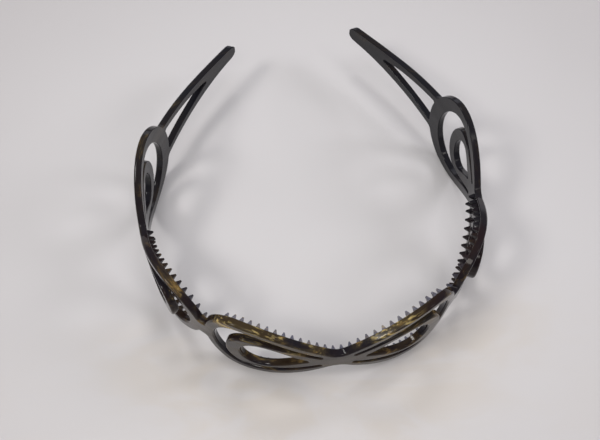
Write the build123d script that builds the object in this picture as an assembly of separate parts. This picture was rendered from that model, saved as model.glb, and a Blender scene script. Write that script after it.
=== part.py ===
from build123d import *
from collections import namedtuple
from math import cos, pi, sin, sqrt
import os

# Open-work hair band with comb teeth, lying on its lower edge. All sizes are in millimetres.
#
# Every place on the band is given by three numbers:
#   arc   distance along the band from the crown waist, towards either tip
#   rise  height above the band's mid-line
#   out   distance outwards from the inner face
# The plan is a chain of tangent arcs, one under each loop and two under each arm. The two halves
# differ a little, because the moulded band has taken a slight set to one side.

THICKNESS = 3.0
SHOULDER = 51.5                  # arc of the waist between crown loop and side loop
TEMPLE = 96.5                    # arc of the waist between side loop and temple loop
TIP = 201.0
PLAN_BREAKS = (0.0, SHOULDER, TEMPLE, 137.0, 168.0, TIP)
PLAN_RADII = {
    "right": (65.0, 66.0, 89.0, 175.0, 256.0),
    "left": (71.5, 62.0, 72.5, 189.0, 233.0),
}

WALL_HALF = 30.0                 # more than any half height, for blanks and cutters
DRAW = 40.0                      # half length of a cutter along the moulding direction
REST_HALF = 21.0                 # half height of the crown and temple loops, which it lies on
NECK_HALF = 5.3                  # half height of every waist
PLATE_REACH = 7.2                # a waist plate ends this far inside each pointed end
LOOP_STUB = 3.0                  # a nested loop is drawn from this far inside the plate, then cut back
OUTER_ROUND = 0.9                # rounding round the outer face
GROOVE_WIDTH = 1.1               # the slot between nested loops at its narrow ends
INNER_ROUND = 0.35               # rounding round the inner face
POINT_ROUND = 4.0                # hollow curve where a pointed end opens out of its waist
NOTCH_ROUND = 1.2                # hollow curve where a round end meets its waist

# One pointed oval: where it starts, is highest and ends, as distances from the loop's point;
# its half heights at the start and at the highest place; and how steeply it opens.
Drop = namedtuple("Drop", "start crest end neck half slope")
# A loop runs from its point towards (+1) or away from (-1) the tip. The loop nested in it stands
# off the band by the lift at its round end.
Loop = namedtuple("Loop", "point way lift outer slot inner hole")


def nested(slot, crest, end, half):
    """The edge across the slot from a given one: a groove's width away and parallel at the start."""
    lean = sqrt(1 + slot.slope**2)
    start = slot.start + GROOVE_WIDTH * slot.slope / lean
    return Drop(start, crest, end, slot.neck - GROOVE_WIDTH / lean, half, slot.slope)


CROWN_SLOT = Drop(6.0, 34.5, 46.4, 4.6, 17.0, 0.55)
SIDE_SLOT = Drop(6.0, 26.5, 39.0, 4.5, 13.4, 0.42)
TEMPLE_SLOT = Drop(6.0, 28.5, 41.0, 4.5, 16.3, 0.55)
LOOPS = {
    "crown": Loop(
        0.0, 1, 1.5,
        outer=Drop(1.6, 36.0, 50.7, NECK_HALF, REST_HALF, 0.75),
        slot=CROWN_SLOT,
        inner=nested(CROWN_SLOT, 32.5, 41.3, 12.0),
        hole=Drop(11.0, 28.0, 35.4, 0.6, 9.0, 0.50),
    ),
    "side": Loop(
        TEMPLE, -1, 3.0,
        outer=Drop(1.6, 27.0, 44.5, NECK_HALF, 17.2, 0.65),
        slot=SIDE_SLOT,
        inner=nested(SIDE_SLOT, 25.0, 34.0, 9.4),
        hole=Drop(11.5, 22.0, 28.6, 0.6, 6.4, 0.36),
    ),
    "temple": Loop(
        TEMPLE, 1, 0.8,
        outer=Drop(1.6, 31.0, 48.0, NECK_HALF, REST_HALF, 0.75),
        slot=TEMPLE_SLOT,
        inner=nested(TEMPLE_SLOT, 25.0, 32.6, 11.6),
        hole=Drop(11.0, 22.0, 27.8, 0.6, 7.9, 0.48),
    ),
}
DROP_STEPS = 8                   # points in each of a pointed oval's four quarters

# The arm's half height from the temple loop to the tip, and the slot between its rails.
ARM_EDGE = ((132.0, 11.6), (146.0, 9.6), (160.0, 7.8), (175.0, 5.7), (197.5, 3.5))
ARM_SLOT = ((132.0, 8.6), (146.0, 6.3), (160.0, 4.2), (172.0, 2.0), (177.4, 0.7))
ARM_SPLIT = 148.5                # the arm is a piece of its own from here on
ARM_HOLLOW = 3.0                 # hollow curve where an arm rail leaves the temple loop
SLOT_CORNER = 0.8

TOOTH_PITCH = 3.1
TOOTH_LENGTH = 2.2
TOOTH_BASE = 1.9
TOOTH_TIP = 0.5
TOOTH_INSET = 2.3                # the rows run this far inside the loops' outer edges
COMBS = {"crown": (TOOTH_PITCH / 2, 14), "side": (52.8, 15)}    # first tooth, number of teeth


def further(frame, radius, run):
    """A frame moved along an arc that starts along its x and curves inwards, away from its z."""
    turn = run / radius
    along = frame.x_dir * cos(turn) - frame.z_dir * sin(turn)
    across = frame.x_dir * sin(turn) + frame.z_dir * cos(turn)
    return Plane(origin=frame.origin + (across - frame.z_dir) * radius, x_dir=along, z_dir=across)


def plan_plane(side, arc, out=0.0):
    """Plane at a place on the band: x towards the tip, y up, z outwards."""
    frame = Plane(origin=(0, 0, 0), x_dir=(1, 0, 0), z_dir=(0, -1, 0))
    start = 0.0
    for end, radius in zip(PLAN_BREAKS[1:], PLAN_RADII[side]):
        last = end == TIP or arc < end
        frame = further(frame, radius, (arc if last else end) - start)
        start = end
        if last:
            break
    return frame.offset(out)


def plan_radius(side, arc):
    """Radius of the band's inner face at a place."""
    return next(radius for end, radius in zip(PLAN_BREAKS[1:], PLAN_RADII[side]) if arc < end)


def plate(frames):
    """Curved upright plate through frames on its inner face; each odd one is the middle of an arc."""
    curves = []
    for out in (0.0, THICKNESS):
        places = [frame.offset(out).origin for frame in frames]
        curves.append([ThreePointArc(*places[i:i + 3]) for i in range(0, len(places) - 2, 2)])
    inside, outside = curves
    ends = [Line(inside[0] @ 0, outside[0] @ 0), Line(inside[-1] @ 1, outside[-1] @ 1)]
    return extrude(Pos(0, 0, -WALL_HALF) * make_face(inside + outside + ends), 2 * WALL_HALF)


def wall(side, start, stop):
    """The band's own plate between two arc positions."""
    breaks = [start] + [b for b in PLAN_BREAKS if start < b < stop] + [stop]
    arcs = [start]
    for before, after in zip(breaks, breaks[1:]):
        arcs += [(before + after) / 2, after]
    return plate([plan_plane(side, arc) for arc in arcs])


class Bay:
    """One stretch of the band, moulded straight through along the outward line at its middle."""

    def __init__(self, side, facing):
        self.side = side
        self.plane = plan_plane(side, facing, THICKNESS / 2)

    def flat(self, arc, rise):
        """A place on the band, in the flat of the moulding direction."""
        there = plan_plane(self.side, arc, THICKNESS / 2).origin
        return Vector(self.plane.to_local_coords(there).X, rise)

    def shape(self, blank, radii, ends, outline):
        """A plate cut to a flat outline, both its faces' edges softened but not those at its ends."""
        solid = blank & extrude(self.plane * Pos(0, 0, -DRAW) * outline, 2 * DRAW)
        for out, soft in ((THICKNESS, OUTER_ROUND), (0.0, INNER_ROUND)):
            solid = fillet(skin_edges(solid, [radius + out for radius in radii], ends), soft)
        return solid.solid()


def skin_edges(solid, levels, ends):
    """Edges round the curved faces of the given radii, leaving out those in the end planes."""
    skins = [
        face for face in solid.faces().filter_by(GeomType.CYLINDER)
        if any(abs(face.radius - level) < 0.01 for level in levels)
    ]
    edges = [edge for face in skins for edge in face.edges()]

    def is_end(edge):
        return any(abs(end.to_local_coords(edge @ 0.5).X) < 0.01 for end in ends)

    def is_seam(edge):
        return sum(edge.is_same(other) for other in edges) > 1

    return [edge for edge in edges if not is_seam(edge) and not is_end(edge)]


def parted(side, solid, arc):
    """The solids on the crown side and those on the tip side of a cut across the band, tallest first."""
    place = plan_plane(side, arc)
    cut = Plane(origin=place.origin, x_dir=place.z_dir, z_dir=place.x_dir)
    return [
        sorted(split(solid, cut, keep=keep).solids(), key=lambda piece: -piece.bounding_box().size.Z)
        for keep in (Keep.BOTTOM, Keep.TOP)
    ]


def drop_height(drop, along):
    """Half height of a pointed oval at a distance from the loop's point."""
    if along > drop.crest:
        return drop.half * sqrt(max(0.0, 1 - ((along - drop.crest) / (drop.end - drop.crest)) ** 2))
    reach = drop.crest - drop.start
    t = max(0.0, along - drop.start) / reach
    rise = drop.neck * (1 - 3 * t**2 + 2 * t**3)
    rise += drop.slope * reach * (t - 2 * t**2 + t**3)
    return rise + drop.half * (3 * t**2 - 2 * t**3)


def drop_half(drop):
    """Upper edge of a pointed oval as (distance, half height) pairs from its start to its end."""
    flank = [drop.start + step / DROP_STEPS * (drop.crest - drop.start) for step in range(DROP_STEPS)]
    angles = [step / DROP_STEPS * pi / 2 for step in range(DROP_STEPS + 1)]
    round_end = [drop.crest + sin(angle) * (drop.end - drop.crest) for angle in angles]
    return [(along, drop_height(drop, along)) for along in flank + round_end]


def drop_curve(bay, loop, drop):
    """Edge of a pointed oval, from its upper start round the blunt end to its lower start."""
    upper = drop_half(drop)
    lower = [(along, -rise) for along, rise in reversed(upper[:-1])]
    return Spline(*(bay.flat(loop.point + loop.way * along, rise) for along, rise in upper + lower))


def drop_face(bay, loop, drop, rounded_point=False):
    """A whole pointed oval, its start cut straight or rounded off."""
    curve = drop_curve(bay, loop, drop)
    if rounded_point:
        return make_face([curve, end_cap(curve, 0, curve, 1)])
    return make_face([curve, Line(curve @ 0, curve @ 1)])


def end_cap(first, first_at, second, second_at):
    """Arc that closes the gap between the ends of two edges and runs smoothly into both."""
    a, b = first @ first_at, second @ second_at
    back = (first % first_at) * (-1 if first_at == 0 else 1)
    return TangentArc(a, b, tangent=back)


def slot_face(bay, loop):
    """The slot between a loop and the loop nested in it, with its two rounded ends."""
    outer = drop_curve(bay, loop, loop.slot)
    inner = drop_curve(bay, loop, loop.inner)
    edges = [outer, inner]
    for at in (0, 1):
        edges.append(end_cap(outer, at, inner, at))
    return make_face(edges)


def neck_face(bay, start, stop, half=NECK_HALF):
    """Straight bar of waist height, or of another half height."""
    a, b = bay.flat(start, 0).X, bay.flat(stop, 0).X
    return Pos((a + b) / 2, 0) * Rectangle(abs(b - a), 2 * half)


def soften(face, bay, arc, rise, radius):
    """Rounds the two corners of a flat outline nearest one place and its mirror image."""
    for sign in (1, -1):
        corner = face.vertices().sort_by_distance(bay.flat(arc, sign * rise))[0]
        face = fillet(corner, radius)
    return face


def waist_outline(bay, loop, waist, other, other_is_round):
    """A loop's outer edge run together with the bar of waist height at each end of its bay."""
    face = drop_face(bay, loop, loop.outer) + neck_face(bay, min(waist, other) - 8, max(waist, other) + 8)
    opening = loop.point + loop.way * loop.outer.start
    face = soften(face, bay, opening, NECK_HALF, POINT_ROUND)
    if other_is_round:
        closing = loop.point + loop.way * (loop.outer.end - NOTCH_ROUND / 3)
        face = soften(face, bay, closing, NECK_HALF, NOTCH_ROUND)
    return face


def loop_pieces(bay, loop, outline, start, stop):
    """The waist plate at a loop's point, then the outer loop and the loop nested in it."""
    side = bay.side
    ends = [plan_plane(side, arc) for arc in (start, stop) if arc < TIP]
    whole = bay.shape(wall(side, start, stop), PLAN_RADII[side], ends, outline - slot_face(bay, loop))
    before, beyond = parted(side, whole, loop.point + loop.way * PLATE_REACH)
    stem, rings = (before, beyond) if loop.way > 0 else (beyond, before)
    return stem[0], rings[0], lifted_loop(bay, loop)


def lifted_loop(bay, loop):
    """The nested loop, which leaves the band at the waist plate and stands off it at its round end."""
    joint = loop.point + loop.way * PLATE_REACH
    length = loop.inner.end - PLATE_REACH
    radius = 1 / (1 / plan_radius(bay.side, joint) - 2 * loop.lift / length**2)
    runs = (-LOOP_STUB, length / 2, length + 4)
    frames = [further(plan_plane(bay.side, joint), radius, loop.way * run) for run in runs]
    opening = loop.point + loop.way * loop.inner.start
    stem = neck_face(bay, joint - loop.way * (LOOP_STUB + 2), opening + loop.way, loop.inner.neck)
    outline = soften(drop_face(bay, loop, loop.inner) + stem, bay, opening, loop.inner.neck, LOOP_STUB)
    outline -= drop_face(bay, loop, loop.hole, rounded_point=True)
    solid = bay.shape(plate(frames), [radius], frames[:1], outline)
    before, beyond = parted(bay.side, solid, joint)
    return (beyond if loop.way > 0 else before)[0]


def arm_face(bay):
    """The tapering arm with its rounded tip, open between its two rails."""
    upper = Spline(*(bay.flat(arc, half) for arc, half in ARM_EDGE))
    lower = Spline(*(bay.flat(arc, -half) for arc, half in ARM_EDGE))
    tip = ThreePointArc(upper @ 1, bay.flat(TIP - 0.2, 0), lower @ 1)
    outline = make_face([upper, tip, lower, Line(upper @ 0, lower @ 0)])
    above = Spline(*(bay.flat(arc, half) for arc, half in ARM_SLOT))
    below = Spline(*(bay.flat(arc, -half) for arc, half in ARM_SLOT))
    slot = make_face([above, end_cap(above, 1, below, 1), below, Line(above @ 0, below @ 0)])
    return outline - slot


def crown_pieces(side):
    """From the crown waist to the shoulder: pointed at the crown."""
    bay, loop = Bay(side, SHOULDER / 2), LOOPS["crown"]
    outline = waist_outline(bay, loop, 0.0, SHOULDER, True)
    return loop_pieces(bay, loop, outline, 0.0, SHOULDER)


def side_pieces(side):
    """From the shoulder to the temple waist: pointed at the temple."""
    bay, loop = Bay(side, (SHOULDER + TEMPLE) / 2), LOOPS["side"]
    outline = waist_outline(bay, loop, TEMPLE, SHOULDER, True)
    return loop_pieces(bay, loop, outline, SHOULDER, TEMPLE)


def temple_pieces(side):
    """From the temple waist to the tip: a loop, then the arm that leaves its round end."""
    bay, loop = Bay(side, 130.0), LOOPS["temple"]
    outline = arm_face(bay) + waist_outline(bay, loop, TEMPLE, TEMPLE + 2, False)
    outline = soften(outline, bay, 141.0, 10.3, ARM_HOLLOW)
    outline = soften(outline, bay, 143.0, 7.0, SLOT_CORNER)
    plate, outer, inner = loop_pieces(bay, loop, outline, TEMPLE, TIP)
    outer, arm = parted(side, outer, ARM_SPLIT)
    return plate, outer[0], inner, arm[0]


def tooth(side, arc, rise):
    """One pointed comb tooth, trimmed to the curve of the band's inner face."""
    sunk = 0.3
    place = plan_plane(side, arc) * Pos(0, rise, 0)
    widest = TOOTH_BASE + (TOOTH_BASE - TOOTH_TIP) * sunk / TOOTH_LENGTH
    base = place * Pos(0, 0, sunk) * Rectangle(widest, widest)
    tip = place * Pos(0, 0, -TOOTH_LENGTH) * Rectangle(TOOTH_TIP, TOOTH_TIP)
    return loft([base.face(), tip.face()]) - wall(side, max(0, arc - 3), arc + 3)


def tooth_rise(loop, arc):
    """Height of the row of teeth above the mid-line, keeping its distance from the sloping edge."""
    along = abs(arc - loop.point)
    step = 0.1
    slope = (drop_height(loop.outer, along + step) - drop_height(loop.outer, along)) / step
    edge = max(NECK_HALF, drop_height(loop.outer, along))
    return max(NECK_HALF - TOOTH_INSET, edge - TOOTH_INSET * sqrt(1 + slope**2))


def tooth_row(side, key, sign):
    """The teeth along the upper (+1) or lower (-1) rail of a loop."""
    first, count = COMBS[key]
    arcs = [first + step * TOOTH_PITCH for step in range(count)]
    return Compound([tooth(side, arc, sign * tooth_rise(LOOPS[key], arc)).solid() for arc in arcs])


def half_band(side):
    """The pieces of one half of the band by name, with its crown waist plate kept apart."""
    pieces, plates = {}, {}
    plates["crown"], pieces["crown_outer_loop"], pieces["crown_inner_loop"] = crown_pieces(side)
    plates["side"], pieces["side_outer_loop"], pieces["side_inner_loop"] = side_pieces(side)
    plates["temple"], outer, inner, arm = temple_pieces(side)
    pieces.update(temple_outer_loop=outer, temple_inner_loop=inner, arm=arm)
    pieces["temple_waist"] = plates["side"] + plates["temple"]
    for key in COMBS:
        pieces[f"{key}_upper_teeth"] = tooth_row(side, key, 1)
        pieces[f"{key}_lower_teeth"] = tooth_row(side, key, -1)
    return pieces, plates["crown"]


def placed(piece, side, shift=Location()):
    """A piece's solids, mirrored if they are the left half's, and shifted."""
    solids = [solid.mirror(Plane.YZ) if side == "left" else solid for solid in piece.solids()]
    solids = [solid.moved(shift) for solid in solids]
    return solids[0] if len(solids) == 1 else Compound(solids)


def whole_band():
    """Every piece by name, standing on the ground plane about the middle of the band."""
    pieces, crown_plates = {}, []
    for side in PLAN_RADII:
        half, crown_plate = half_band(side)
        for name, piece in half.items():
            pieces[f"{side}_{name}"] = placed(piece, side)
        crown_plates.append(placed(crown_plate, side))
    pieces["crown_waist"] = crown_plates[0] + crown_plates[1]
    box = Compound([solid for piece in pieces.values() for solid in piece.solids()]).bounding_box()
    middle = Pos(-box.center().X, -box.center().Y, REST_HALF)
    return {name: placed(piece, "whole", middle) for name, piece in pieces.items()}


os.makedirs("parts", exist_ok=True)
for name, piece in whole_band().items():
    export_step(piece, f"parts/{name}.step")
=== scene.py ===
from math import cos, radians, sin

import bpy
from mathutils import Matrix, Vector


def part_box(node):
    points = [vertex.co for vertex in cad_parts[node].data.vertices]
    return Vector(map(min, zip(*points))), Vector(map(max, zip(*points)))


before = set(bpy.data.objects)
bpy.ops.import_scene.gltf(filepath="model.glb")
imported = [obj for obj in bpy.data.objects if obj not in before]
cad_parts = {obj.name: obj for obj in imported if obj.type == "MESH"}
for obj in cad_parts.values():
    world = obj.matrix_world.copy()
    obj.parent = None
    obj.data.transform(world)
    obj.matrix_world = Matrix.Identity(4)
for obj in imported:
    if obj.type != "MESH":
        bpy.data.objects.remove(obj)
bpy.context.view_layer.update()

MM = 0.001

# The camera stands over the crown and looks down between the arms.
CAMERA_DISTANCE = 315.5 * MM
CAMERA_ELEVATION = radians(61.5)
CAMERA_YAW = radians(9.28)
CAMERA_ROLL = radians(-2.79)
CAMERA_AIM = Vector((16.13, -55.52, 0)) * MM
CAMERA_LENS = 46.7

BAND_THICKNESS = 3 * MM
HEAD_MIDDLE = -9 * MM            # along Y, the middle of the crown's curve
HEAD_RADIUS = 68 * MM

TABLE_SIDE = 6.0                 # metres
ROOM_COLOUR = (0.99, 0.96, 1.0, 1.0)
ROOM_STRENGTH = 0.17

# Each lamp's name, position and size in metres, watts, colour, and whether gloss mirrors it.
SOFTBOXES = (
    ("ceiling", (0.0, 0.05, 1.3), (1.1, 0.7), 6.5, (0.98, 0.98, 1.0), False),
    ("back lamp", (0.02, 0.66, 1.15), (0.30, 0.20), 1.7, (1.0, 0.98, 0.96), True),
    ("front left", (-0.20, -0.52, 0.80), (0.30, 0.20), 0.9, (1.0, 0.96, 0.88), True),
    ("front right", (0.50, -0.31, 0.83), (0.14, 0.14), 0.3, (1.0, 0.97, 0.90), True),
    ("back window", (0.10, 1.15, 0.42), (1.1, 0.40), 1.0, (0.90, 0.92, 1.0), True),
    ("left window", (-0.75, -0.24, 0.93), (0.28, 0.28), 4.2, (1.0, 0.98, 0.95), True),
    ("right window", (1.0, 0.04, 0.62), (0.36, 0.36), 4.0, (0.97, 0.96, 1.0), False),
)


# ---------------------------------------------------------------- nodes


class Nodes:
    """Short calls for building one material's node tree."""

    def __init__(self, name):
        self.material = bpy.data.materials.new(name)
        self.material.use_nodes = True
        self.tree = self.material.node_tree
        self.shader = self.tree.nodes["Principled BSDF"]

    def feed(self, socket, value):
        if isinstance(value, bpy.types.NodeSocket):
            self.tree.links.new(value, socket)
        else:
            socket.default_value = value

    def add(self, kind, inputs=(), **settings):
        node = self.tree.nodes.new(kind)
        for key, value in settings.items():
            setattr(node, key, value)
        for key, value in dict(inputs).items():
            self.feed(node.inputs[key], value)
        return node

    def place(self):
        """Where a point is on the object, in metres."""
        return self.add("ShaderNodeTexCoord").outputs["Object"]

    def scaled(self, vector, scale, turn=(0, 0, 0)):
        node = self.add("ShaderNodeMapping", {"Vector": vector, "Scale": scale, "Rotation": turn})
        return node.outputs["Vector"]

    def noise(self, vector, scale, detail=2.0, roughness=0.5, distortion=0.0):
        inputs = {
            "Vector": vector, "Scale": scale, "Detail": detail,
            "Roughness": roughness, "Distortion": distortion,
        }
        return self.add("ShaderNodeTexNoise", inputs).outputs["Fac"]

    def math(self, operation, a, b=0.0):
        node = self.add("ShaderNodeMath", {0: a, 1: b}, operation=operation)
        return node.outputs["Value"]

    def product(self, *factors):
        result = factors[0]
        for factor in factors[1:]:
            result = self.math("MULTIPLY", result, factor)
        return result

    def band(self, value, low, high, to_low=0.0, to_high=1.0):
        """The value's smooth rise from to_low to to_high between two limits."""
        inputs = {
            "Value": value, "From Min": low, "From Max": high,
            "To Min": to_low, "To Max": to_high,
        }
        node = self.add("ShaderNodeMapRange", inputs, interpolation_type="SMOOTHSTEP")
        return node.outputs["Result"]

    def mix(self, share, a, b):
        node = self.add("ShaderNodeMix", data_type="RGBA")
        self.feed(node.inputs["Factor"], share)
        colours = [socket for socket in node.inputs if socket.type == "RGBA"]
        for socket, value in zip(colours, (a, b)):
            self.feed(socket, value if isinstance(value, bpy.types.NodeSocket) else (*value, 1.0))
        return next(socket for socket in node.outputs if socket.type == "RGBA")

    def bump(self, height, distance, strength=1.0, normal=None):
        inputs = {"Height": height, "Distance": distance, "Strength": strength}
        if normal is not None:
            inputs["Normal"] = normal
        return self.add("ShaderNodeBump", inputs).outputs["Normal"]

    def finish(self, colour, roughness, normal, **constants):
        self.feed(self.shader.inputs["Base Color"], colour)
        self.feed(self.shader.inputs["Roughness"], roughness)
        self.feed(self.shader.inputs["Normal"], normal)
        for key, value in constants.items():
            self.shader.inputs[key.replace("_", " ")].default_value = value
        return self.material


# ---------------------------------------------------------------- materials

# The band.
BLACK_BROWN = (0.0150, 0.0080, 0.0110)
CHARCOAL = (0.0110, 0.0115, 0.0155)
DARK_BROWN = (0.024, 0.015, 0.0085)
# Amber and olive: the plastic's own streak colours, also used for a painted glow on the crown's
# upper rails.
AMBER = (0.30, 0.185, 0.055)
OLIVE = (0.072, 0.056, 0.028)
# Painted highlight: this gold stands in for lamp glints along the crown's upper rails.
HIGHLIGHT_GOLD = (0.56, 0.43, 0.17)
# Painted glare: the bluish share on the crown's teeth stands in for their lit, glossy tips.
TEETH_GLARE_BLUE = (0.24, 0.245, 0.31)
TEETH_GLARE_SHARE = 0.65

# The table.
PAPER_DIM = (0.620, 0.604, 0.611)
PAPER_BRIGHT = (0.650, 0.635, 0.640)
PAPER_EDGE_SHADE = (0.550, 0.530, 0.534)
PAPER_CAUSTIC = (0.600, 0.550, 0.495)


def along_band(n, place):
    """The place unrolled along the band (round it, up it and across its wall), and its X, Y
    and height, all in metres."""
    split = n.add("ShaderNodeSeparateXYZ", {"Vector": place})
    x, y, up = split.outputs
    depth = n.math("SUBTRACT", y, HEAD_MIDDLE)
    angle = n.math("ARCTAN2", x, n.math("MULTIPLY", depth, -1.0))
    across = n.math("SQRT", n.math("ADD", n.math("POWER", x, 2.0), n.math("POWER", depth, 2.0)))
    inputs = {"X": n.math("MULTIPLY", angle, HEAD_RADIUS), "Y": up, "Z": across}
    return n.add("ShaderNodeCombineXYZ", inputs).outputs["Vector"], x, y, up


def painted_highlight_lines(n, x, y, up, threads):
    """How much painted gold highlight a point gets: two long lines along the crown's upper rails.
    """
    left = n.product(n.band(x, -0.046, -0.038), n.band(x, -0.030, -0.014, 1.0, 0.0))
    right = n.product(n.band(x, 0.010, 0.018), n.band(x, 0.025, 0.034, 1.0, 0.0))
    return n.product(
        n.math("ADD", left, right),
        n.band(up, 0.031, 0.035),
        n.band(threads, 0.50, 0.64, 0.04, 0.60),
        n.band(y, -0.066, -0.050, 1.0, 0.0),
    )


def tortoiseshell(name, glare_share=0.0):
    """Dark glossy plastic with amber streaks that run along the band. Over the crown's upper rails
    the streaks carry a painted glow and painted gold highlights.
    The glare share paints a bluish glare on the teeth."""
    n = Nodes(name)
    place = n.place()
    unrolled, x, y, up = along_band(n, place)
    near_crown = n.product(n.band(y, -0.066, -0.028, 1.0, 0.15), n.band(x, 0.030, 0.052, 1.0, 0.35))
    # The amber streaks are real, but they gather on the crown's upper rails as a painted glow of
    # the lit plastic there.
    amber_and_painted_glow = n.product(n.band(up, 0.022, 0.034, 0.35, 1.0), near_crown)

    clouds = n.noise(n.scaled(unrolled, (0.5, 1.0, 1.0)), 75, detail=3, distortion=0.5)
    streaks = n.noise(
        n.scaled(unrolled, (0.16, 1.3, 1.3)), 190, detail=4, roughness=0.55, distortion=0.6
    )
    threads = n.noise(n.scaled(unrolled, (0.05, 1.0, 1.0)), 900, detail=3, roughness=0.6)
    flecks = n.noise(n.scaled(unrolled, (0.3, 1.0, 1.0)), 420, detail=3, roughness=0.65)

    brown = n.product(n.band(clouds, 0.36, 0.58, 0.3, 1.0), n.band(y, -0.045, 0.015, 1.0, 0.1))
    body = n.mix(brown, CHARCOAL, BLACK_BROWN)
    body = n.mix(n.product(n.band(clouds, 0.40, 0.64), near_crown), body, DARK_BROWN)
    olive_streaks_and_glow = n.product(n.band(streaks, 0.40, 0.58), amber_and_painted_glow)
    # Olive on the upper rails: partly streak pattern, partly a painted glow where the top faces
    # catch light.
    body = n.mix(n.product(olive_streaks_and_glow, 0.4), body, OLIVE)

    warm = n.mix(n.band(flecks, 0.38, 0.62), OLIVE, AMBER)
    share = n.product(n.band(streaks, 0.52, 0.64), n.band(threads, 0.38, 0.60, 0.2, 1.0), amber_and_painted_glow)
    colour = n.mix(share, body, warm)
    # Painted highlight: gold threads and two long gold lines along the upper rails of the crown.
    painted_highlight_core = n.product(n.band(threads, 0.56, 0.66, 0.0, 0.30), olive_streaks_and_glow, n.band(streaks, 0.46, 0.58))
    painted_highlights = painted_highlight_lines(n, x, y, up, threads)
    colour = n.mix(n.math("ADD", painted_highlight_core, painted_highlights), colour, HIGHLIGHT_GOLD)

    scuffs = n.noise(
        n.scaled(place, (1.0, 1.0, 6.0), (0.4, 0.2, 0.9)), 900, detail=5, roughness=0.7
    )
    # Painted glare on the crown's teeth: bluish patches where lit, glossy tips would shine.
    if glare_share:
        at_crown = n.band(y, -0.066, -0.045, 1.0, 0.0)
        glare_painted = n.product(n.band(scuffs, 0.35, 0.60, glare_share / 3, glare_share), at_crown)
        colour = n.mix(glare_painted, colour, TEETH_GLARE_BLUE)
    smears = n.noise(place, 45, detail=3)
    polish = n.band(smears, 0.35, 0.7, 0.07, 0.14)
    roughness = n.math("ADD", polish, n.band(scuffs, 0.55, 0.75, 0.0, 0.10))
    flow = n.noise(n.scaled(unrolled, (0.4, 1.0, 1.0)), 160, detail=1)
    normal = n.bump(flow, 0.25 * MM, 0.5)
    normal = n.bump(scuffs, 0.010 * MM, 0.5, normal)
    return n.finish(colour, roughness, normal, IOR=1.49, Specular_IOR_Level=0.27)


def paper():
    """The whitish table: a faint mottle, painted shade that dims it away from the band, a fine
    tooth, and a painted warm caustic in front of the band, where light comes through the plastic."""
    n = Nodes("table")
    place = n.place()
    unrolled, _, y, _ = along_band(n, place)
    reach = n.add("ShaderNodeSeparateXYZ", {"Vector": unrolled}).outputs["Z"]
    colour = n.mix(n.noise(place, 6, detail=2), PAPER_DIM, PAPER_BRIGHT)
    # Painted shade: the table dims away from the middle of the band.
    colour = n.mix(n.band(reach, 0.08, 0.22), colour, PAPER_EDGE_SHADE)
    drift = n.noise(
        n.scaled(place, (1.0, 2.0, 1.0), (0, 0, 0.3)), 24, detail=3, distortion=1.2
    )
    # Painted light: a warm caustic on the table in front of the band, where light comes through the
    # plastic.
    painted_caustic = n.product(
        n.band(reach, 0.064, 0.078),
        n.band(reach, 0.086, 0.118, 1.0, 0.15),
        n.band(y, -0.075, -0.035, 1.0, 0.0),
        n.band(drift, 0.38, 0.62, 0.35, 1.0),
    )
    colour = n.mix(n.product(painted_caustic, 0.7), colour, PAPER_CAUSTIC)
    normal = n.bump(n.noise(place, 900, detail=3), 0.05 * MM, 0.3)
    return n.finish(colour, n.band(n.noise(place, 20), 0.3, 0.7, 0.45, 0.6), normal)


# ---------------------------------------------------------------- object


def dress_band():
    """Gives every moulded node its plastic; the teeth get one with a painted bluish glare."""
    shell = tortoiseshell("tortoiseshell")
    glare_painted = tortoiseshell("tortoiseshell with painted glare", glare_share=TEETH_GLARE_SHARE)
    for name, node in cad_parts.items():
        node.data.materials.clear()
        node.data.materials.append(glare_painted if name.endswith("teeth") else shell)


# ---------------------------------------------------------------- set


def crown_middle():
    """The middle of the inner face at the crown."""
    low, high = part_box("crown_waist")
    return Vector(((low.x + high.x) / 2, low.y + BAND_THICKNESS, (low.z + high.z) / 2))


def lay_table():
    bpy.ops.mesh.primitive_plane_add(size=TABLE_SIDE)
    table = bpy.context.object
    table.name = "table"
    table.data.materials.append(paper())


def add_camera():
    turn = Matrix.Rotation(-CAMERA_YAW, 3, "Z")
    forward = Vector((0, cos(CAMERA_ELEVATION), -sin(CAMERA_ELEVATION)))
    up = Vector((0, sin(CAMERA_ELEVATION), cos(CAMERA_ELEVATION)))
    right = Vector((1, 0, 0))
    position = turn @ (-CAMERA_DISTANCE * forward - CAMERA_AIM) + crown_middle()
    across = turn @ (cos(CAMERA_ROLL) * right - sin(CAMERA_ROLL) * up)
    upward = turn @ (sin(CAMERA_ROLL) * right + cos(CAMERA_ROLL) * up)
    camera = bpy.data.objects.new("camera", bpy.data.cameras.new("camera"))
    camera.data.lens = CAMERA_LENS
    camera.data.clip_start = 0.01
    axes = Matrix((across, upward, -(turn @ forward))).transposed().to_4x4()
    camera.matrix_world = Matrix.Translation(position) @ axes
    bpy.context.scene.collection.objects.link(camera)
    bpy.context.scene.camera = camera


def add_softbox(name, position, size, watts, colour, glints):
    """A rectangular lamp aimed at the middle of the floor."""
    light = bpy.data.lights.new(name, "AREA")
    light.shape = "RECTANGLE"
    light.size, light.size_y = size
    light.energy = watts
    light.color = colour
    lamp = bpy.data.objects.new(name, light)
    lamp.location = position
    lamp.rotation_euler = (-Vector(position)).to_track_quat("-Z", "Y").to_euler()
    lamp.visible_glossy = glints
    bpy.context.scene.collection.objects.link(lamp)


def light_set():
    world = bpy.data.worlds.new("soft room")
    world.use_nodes = True
    background = world.node_tree.nodes["Background"]
    background.inputs["Color"].default_value = ROOM_COLOUR
    background.inputs["Strength"].default_value = ROOM_STRENGTH
    bpy.context.scene.world = world
    bpy.context.scene.view_settings.view_transform = "Standard"
    for softbox in SOFTBOXES:
        add_softbox(*softbox)


dress_band()
lay_table()
add_camera()
light_set()
